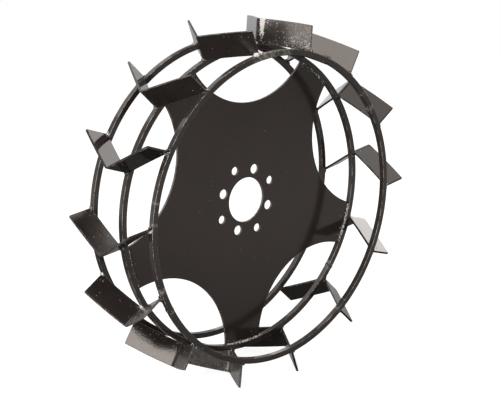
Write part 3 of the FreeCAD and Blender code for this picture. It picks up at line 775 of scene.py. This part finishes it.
def discBeadSurface(arm, side):
    # A quarter-round section carried along the corner between plate and hoop, with arrow-shaped ripples that
    # lag at the middle of its face and a slow wander in size
    middle = wheel["firstScallop"] + (arm + 0.5) * 360 / wheel["armCount"]
    half = armHalf - math.degrees(discBead["endMargin"] / disc["radius"])
    t = np.linspace(-1, 1, discBead["stations"])[:, None]
    length = 2 * math.radians(half) * disc["radius"]
    phase, slow = chance.uniform(0, 6, 2)
    way = t * length / 2 / discBead["rippleLength"]
    wander = sum(height * np.sin(pace * t + share * slow) for height, pace, share in discBead["wander"])
    lag = discBead["lag"] * np.sin(2 * beadTurn)
    ripple = discBead["ripple"] * np.cos(2 * math.pi * (way + lag) + phase)
    loss, power = discBead["endTaper"]
    leg = discBead["leg"] * (1 - loss * t ** power) * (1 + wander + ripple)
    inward, across = beadSection(leg, discBead["sunk"])
    radius = disc["radius"] - inward
    return onWheel(0 * radius, side * (disc["thickness"] / 2 + across), radius, middle + half * t)


beads = np.stack([discBeadSurface(arm, side) for arm in range(wheel["armCount"]) for side in (-1, 1)])
endShare, endPower = discBead["endBare"]
nearEnds = np.abs(np.linspace(-1, 1, beads.shape[1]))[None, :, None] ** endPower
bareness = np.repeat(discBead["bare"], 2)[:, None, None] + endShare * nearEnds
addPiece("discBeads", beads, tubeFaces(beads), "weld_bead", beadPaint, ["disc_welds"], bare=bareness)
print("disc beads laid")


# Spatter: the small drops that welding throws on the steel near each bead

spatter = {
    "size": (0.28, 0.95),  # radius of the smallest and largest drops
    "small": 2.5,  # the power of a random number that makes most drops small
    "rings": ((1.0, -0.45), (0.94, 0.22), (0.62, 0.55), (0.22, 0.68)),  # a drop's outline: radius and height
    "ringSteps": 7,
    "perCorner": 5,  # drops on a lug beside each bead
    "perCrossing": 6,  # drops on a hoop beside each lug
    "perArm": 22,  # drops on the disc beside each bead
    "onLug": (1, 3, 0, 1, 1, 4, 3, 3, 12, 16, 20, 10, 2, 3),  # drops scattered over each lug
    "onDisc": 24,
    "aim": 8.0,  # how far most drops fly from their bead
    "aimAlong": 0.7,  # share of that along a lug
    "aimInward": 0.6,  # and in from the disc's rim
    "lugEnd": (4, 5),  # how far drops keep from a lug's ends: those of a bead, the scattered ones
    "lugEdge": 3,  # and those of a bead from its foot and tip
    "lugHeights": (2.5, 6, 1.3),  # scattered ones: the lowest, what a lug's height loses, power of chance
    "hoopStart": 5,  # how far from the middle of a lug the drops on a hoop begin
    "hoopShare": 0.6,  # middle part of a hoop's face that has drops
    "armShare": 0.92,  # and of an arm's end
    "rimStart": 3.5,
    "discRange": (80, 4),  # scattered ones: radius of the innermost, how far they keep inside the waist
    "hair": 0.01,  # how far outside a hoop's middle its crossing with a lug is taken
    "scale": {"lugSpatter": 1.0, "hoopSpatter": 0.9, "discSpatter": 0.75},
}


def dropSurface(seat, normal, radius):
    # Low domes: rings of shrinking radius stand on each seat along its normal, the lowest one sunk into the
    # steel. The helper is an axis that the normal doesn't lie along.
    helper = np.where(np.abs(normal[:, 1:2]) < 0.8, [[0.0, 1.0, 0.0]], [[1.0, 0.0, 0.0]])
    first = np.cross(normal, helper)
    first /= np.linalg.norm(first, axis=1, keepdims=True)
    second = np.cross(normal, first)
    rings = np.array(spatter["rings"])
    turn = np.linspace(0, 2 * math.pi, spatter["ringSteps"], endpoint=False)
    spread = radius[:, None, None] * rings[None, :, :1]
    rise = (radius[:, None] * rings[None, :, 1])[:, :, None, None]
    forward = first[:, None, None] * (spread * np.cos(turn))[..., None]
    sideways = second[:, None, None] * (spread * np.sin(turn))[..., None]
    return seat[:, None, None] + (forward + sideways) + normal[:, None, None] * rise


def spotOnLug(number, axial, height, innerSide):
    # A point of a lug's leading or trailing face at a distance along the axle and a height above the hoops
    bothFaces = zip(faceOfLug(axial, True), faceOfLug(axial, False))
    trail, normalTrail, normalAxial = (np.where(innerSide, inner, outer) for inner, outer in bothFaces)
    along = np.abs(axial) / math.cos(wingTurn) / wingLength
    bulge = np.where(innerSide, -1, 1) * lugBows[number] * (1 - (2 * along - 1) ** 2)
    x, y = trail + normalTrail * bulge, axial + normalAxial * bulge
    z = np.sqrt((wheel["hoopRadius"] + height) ** 2 - x ** 2)
    return onWheel(x, y, z, lugAngles[number]), onWheel(normalTrail, normalAxial, 0, lugAngles[number])


def crossingAngle(number, side):
    # Where a lug crosses a hoop: its own angle less the turn that its trail makes at the hoop's radius
    trail = faceOfLug(np.array([abs(side) * wheel["hoopSpacing"] + spatter["hair"]]), False)[0][0]
    return lugAngles[number] - math.degrees(math.asin(trail / wheel["hoopRadius"]))


def scatterOnLugs():
    # On each lug, most drops lie within a short flight of its crossings with the hoops, the rest anywhere
    spots = []
    beadEnd, looseEnd = spatter["lugEnd"]
    clear = spatter["lugEdge"]
    lowest, less, power = spatter["lugHeights"]
    for number in range(wheel["lugCount"]):
        for side in sides.values():
            count = 2 * spatter["perCorner"]
            flight = spatter["aim"] * spatter["aimAlong"]
            axial = side * wheel["hoopSpacing"] + chance.normal(0, flight, count)
            mirrored = side * 2 * wheel["hoopSpacing"] - axial
            axial = np.where(np.abs(axial) > lug["halfWidth"] - beadEnd, mirrored, axial)
            height = clear + np.abs(chance.normal(0, spatter["aim"], count))
            height = np.minimum(height, lug["height"] - clear)
            spots.append(spotOnLug(number, axial, height, np.arange(count) % 2 == 0))
        count = 2 * spatter["onLug"][number]
        axial = chance.uniform(-1, 1, count) * (lug["halfWidth"] - looseEnd)
        height = lowest + (lug["height"] - less) * chance.random(count) ** power
        spots.append(spotOnLug(number, axial, height, np.arange(count) % 2 == 0))
    return [np.concatenate(parts) for parts in zip(*spots)]


def scatterOnHoops():
    # Drops lie on both sides of each crossing, on four faces of the bar in turn: outer, near, inner and far
    seats, normals = [], []
    half, share = wheel["barWidth"] / 2, spatter["hoopShare"]
    for side in sides.values():
        for number in range(wheel["lugCount"]):
            count = spatter["perCrossing"]
            way = chance.choice([-1, 1], count)
            fling = way * (spatter["hoopStart"] + np.abs(chance.normal(0, spatter["aim"], count)))
            angle = crossingAngle(number, side) + np.degrees(fling / wheel["hoopRadius"])
            across = chance.uniform(-share, share, count) * half
            face = chance.integers(0, 4, count)
            plus, minus = half + 0 * across, -half + 0 * across
            radius = wheel["hoopRadius"] - half + np.choose(face, [plus, across, minus, across])
            axial = side * wheel["hoopSpacing"] + np.choose(face, [across, minus, across, plus])
            seats.append(onWheel(0 * radius, axial, radius, angle))
            outward = np.choose(face, [1.0, 0.0, -1.0, 0.0])
            sideways = np.choose(face, [0.0, -1.0, 0.0, 1.0])
            normals.append(onWheel(0 * radius, sideways, outward, angle))
    return np.concatenate(seats), np.concatenate(normals)


def scatterOnDisc():
    # Most drops lie within a short flight of the beads at the arm ends, the rest anywhere outside the bolts
    count = wheel["armCount"] * 2 * spatter["perArm"]
    arm = np.arange(count) % wheel["armCount"]
    middle = wheel["firstScallop"] + (arm + 0.5) * 360 / wheel["armCount"]
    share, flight = spatter["armShare"], spatter["aim"] * spatter["aimInward"]
    innermost, less = spatter["discRange"]
    angle = middle + chance.uniform(-share, share, count) * armHalf
    radius = disc["radius"] - spatter["rimStart"] - np.abs(chance.normal(0, flight, count))
    radius = np.r_[radius, chance.uniform(innermost, disc["waist"] - less, 2 * spatter["onDisc"])]
    angle = np.r_[angle, chance.uniform(0, 360, 2 * spatter["onDisc"])]
    face = np.where(np.arange(radius.size) % 4 < 2, -1.0, 1.0)
    seats = onWheel(0 * radius, face * disc["thickness"] / 2, radius, angle)
    return seats, np.stack([0 * face, face, 0 * face], -1)


scatters = {"lugSpatter": scatterOnLugs, "hoopSpatter": scatterOnHoops, "discSpatter": scatterOnDisc}
for name, scatter in scatters.items():
    seats, normals = scatter()
    smallest, largest = spatter["size"]
    spread = (largest - smallest) * chance.random(len(seats)) ** spatter["small"]
    radius = spatter["scale"][name] * (smallest + spread)
    drops = dropSurface(seats, normals, radius)
    # how light each drop is: a painted glint, partly bare steel
    bright = chance.random(len(seats))[:, None, None]
    addPiece(name, drops, tubeFaces(drops), "weld_bead", dropPaint, bright=bright)
print("spatter thrown")


# Studio: pale floor, white room and soft panels

studio = {
    "background": 1.0,  # what the camera sees
    "horizon": 0.7,  # what the gloss sees all round
    "overhead": 0.28,  # and straight up
    "horizonFade": (0.05, 0.75),  # heights between which the one becomes the other
    "fill": 0.44,  # what the room adds to soft light
    "floorReach": 9.0,  # in metres, from the wheel to each side of the floor
    "floorColour": 0.28,
    "floorGlow": 0.865,
    # how bright the gloss sees the floor: the place from straight down to along it, and the brightness there
    "floorShine": ((0.45, 0.12), (0.60, 0.28), (0.71, 0.72), (0.79, 0.45), (0.835, 0.42), (0.875, 1.0)),
    "lampColour": (1.0, 0.98, 0.965),
    "panels": {
        # direction from the wheel, distance, width, height, brightness
        "leftPanel": ((-0.56, -0.32, 0.76), 2.2, 1.0, 0.95, 4.3),
        "sidePanel": ((-0.88, -0.16, 0.44), 2.2, 1.5, 0.7, 6.3),
        "lowPanel": ((-0.94, -0.31, 0.13), 2.2, 0.8, 0.55, 3.1),
        "rightPanel": ((0.92, 0.26, 0.22), 2.1, 0.9, 0.8, 3.4),
        "highRightPanel": ((0.76, 0.35, 0.55), 2.05, 0.7, 0.6, 1.45),
        "topPanel": ((0.36, -0.12, 0.93), 2.0, 1.3, 1.6, 1.35),
        "backPanel": ((-0.05, 0.73, 0.68), 2.2, 1.6, 1.0, 1.0),
        "behindPanel": ((0.64, 0.71, 0.30), 2.3, 1.2, 0.5, 1.5),
    },
}
ground = cadBox[0][2]


def makeFloor():
    # The camera sees a pale floor that keeps the shadow. The gloss sees it dark from above and white along
    # it, as a floor of polished stone shows itself and the room.
    mesh = bpy.data.meshes.new("floor")
    reach = studio["floorReach"]
    corners = [(x * reach, y * reach, ground) for x, y in ((-1, -1), (1, -1), (1, 1), (-1, 1))]
    mesh.from_pydata(corners, [], [(0, 1, 2, 3)])
    floor = bpy.data.objects.new("floor", mesh)
    bpy.context.collection.objects.link(floor)
    paper = bpy.data.materials.new("paleFloor")
    paper.use_nodes = True
    tree = paper.node_tree
    tree.nodes.clear()
    new, link = tree.nodes.new, tree.links.new
    matt = new("ShaderNodeBsdfDiffuse")
    matt.inputs["Color"].default_value = (studio["floorColour"],) * 3 + (1,)
    path = new("ShaderNodeLightPath")
    seen = new("ShaderNodeMath")
    seen.operation = "MULTIPLY"
    seen.inputs[1].default_value = studio["floorGlow"]
    link(path.outputs["Is Camera Ray"], seen.inputs[0])
    glow = new("ShaderNodeEmission")
    link(seen.outputs[0], glow.inputs["Strength"])
    lit = new("ShaderNodeAddShader")
    link(matt.outputs[0], lit.inputs[0])
    link(glow.outputs[0], lit.inputs[1])
    graze = new("ShaderNodeLayerWeight")
    fade = new("ShaderNodeValToRGB")
    elements = fade.color_ramp.elements
    for step, (along, shade) in enumerate(studio["floorShine"]):
        stop = elements[step] if step < 2 else elements.new(along)
        stop.position = along
        stop.color = (shade, shade, shade, 1)
    link(graze.outputs["Facing"], fade.inputs[0])
    shine = new("ShaderNodeEmission")
    link(fade.outputs[0], shine.inputs["Color"])
    both = new("ShaderNodeMixShader")
    link(path.outputs["Is Glossy Ray"], both.inputs[0])
    link(lit.outputs[0], both.inputs[1])
    link(shine.outputs[0], both.inputs[2])
    output = new("ShaderNodeOutputMaterial")
    link(both.outputs[0], output.inputs[0])
    mesh.materials.append(paper)


def makeRoom():
    # White for the camera; mirror-like rays see white at the horizon that fades to grey overhead; the rest is
    # soft fill
    world = bpy.data.worlds.new("room")
    bpy.context.scene.world = world
    world.use_nodes = True
    tree = world.node_tree
    tree.nodes.clear()
    new, link = tree.nodes.new, tree.links.new
    path = new("ShaderNodeLightPath")
    where = new("ShaderNodeTexCoord")
    split = new("ShaderNodeSeparateXYZ")
    link(where.outputs["Generated"], split.inputs[0])
    fade = new("ShaderNodeMapRange")
    low, high = studio["horizonFade"]
    fade.inputs["From Min"].default_value, fade.inputs["From Max"].default_value = low, high
    fade.inputs["To Min"].default_value = studio["horizon"]
    fade.inputs["To Max"].default_value = studio["overhead"]
    link(split.outputs["Z"], fade.inputs["Value"])
    glossy = new("ShaderNodeMix")
    glossy.inputs["A"].default_value = studio["fill"]
    link(path.outputs["Is Glossy Ray"], glossy.inputs["Factor"])
    link(fade.outputs[0], glossy.inputs["B"])
    seen = new("ShaderNodeMix")
    seen.inputs["B"].default_value = studio["background"]
    link(path.outputs["Is Camera Ray"], seen.inputs["Factor"])
    link(glossy.outputs["Result"], seen.inputs["A"])
    back = new("ShaderNodeBackground")
    back.inputs["Color"].default_value = (1, 1, 1, 1)
    link(seen.outputs["Result"], back.inputs["Strength"])
    output = new("ShaderNodeOutputWorld")
    link(back.outputs[0], output.inputs[0])


def makePanel(name, direction, distance, width, height, brightness):
    # A rectangular soft light that faces the wheel. Its power is four times its area times its brightness.
    light = bpy.data.lights.new(name, "AREA")
    light.shape = "RECTANGLE"
    light.size, light.size_y = width, height
    light.energy = 4 * width * height * brightness
    light.color = studio["lampColour"]
    panel = bpy.data.objects.new(name, light)
    bpy.context.collection.objects.link(panel)
    away = Vector(direction).normalized()
    facing = (-away).to_track_quat("-Z", "Y").to_matrix().to_4x4()
    panel.matrix_world = Matrix.Translation(away * distance) @ facing
    panel.visible_camera = False


makeFloor()
makeRoom()
for name, values in studio["panels"].items():
    makePanel(name, *values)

shot = {
    "place": (-1.56468, -1.76831, 0.71185),
    "turn": (73.1901, 1.3780, -42.1096),
    "lens": 100.78,
    "sensor": 36,
}
camera = bpy.data.objects.new("camera", bpy.data.cameras.new("camera"))
bpy.context.collection.objects.link(camera)
camera.data.sensor_width = shot["sensor"]
camera.data.lens = shot["lens"]
camera.location = shot["place"]
camera.rotation_euler = [math.radians(v) for v in shot["turn"]]
bpy.context.scene.camera = camera
bpy.context.scene.view_settings.view_transform = "Standard"
print("studio lit")
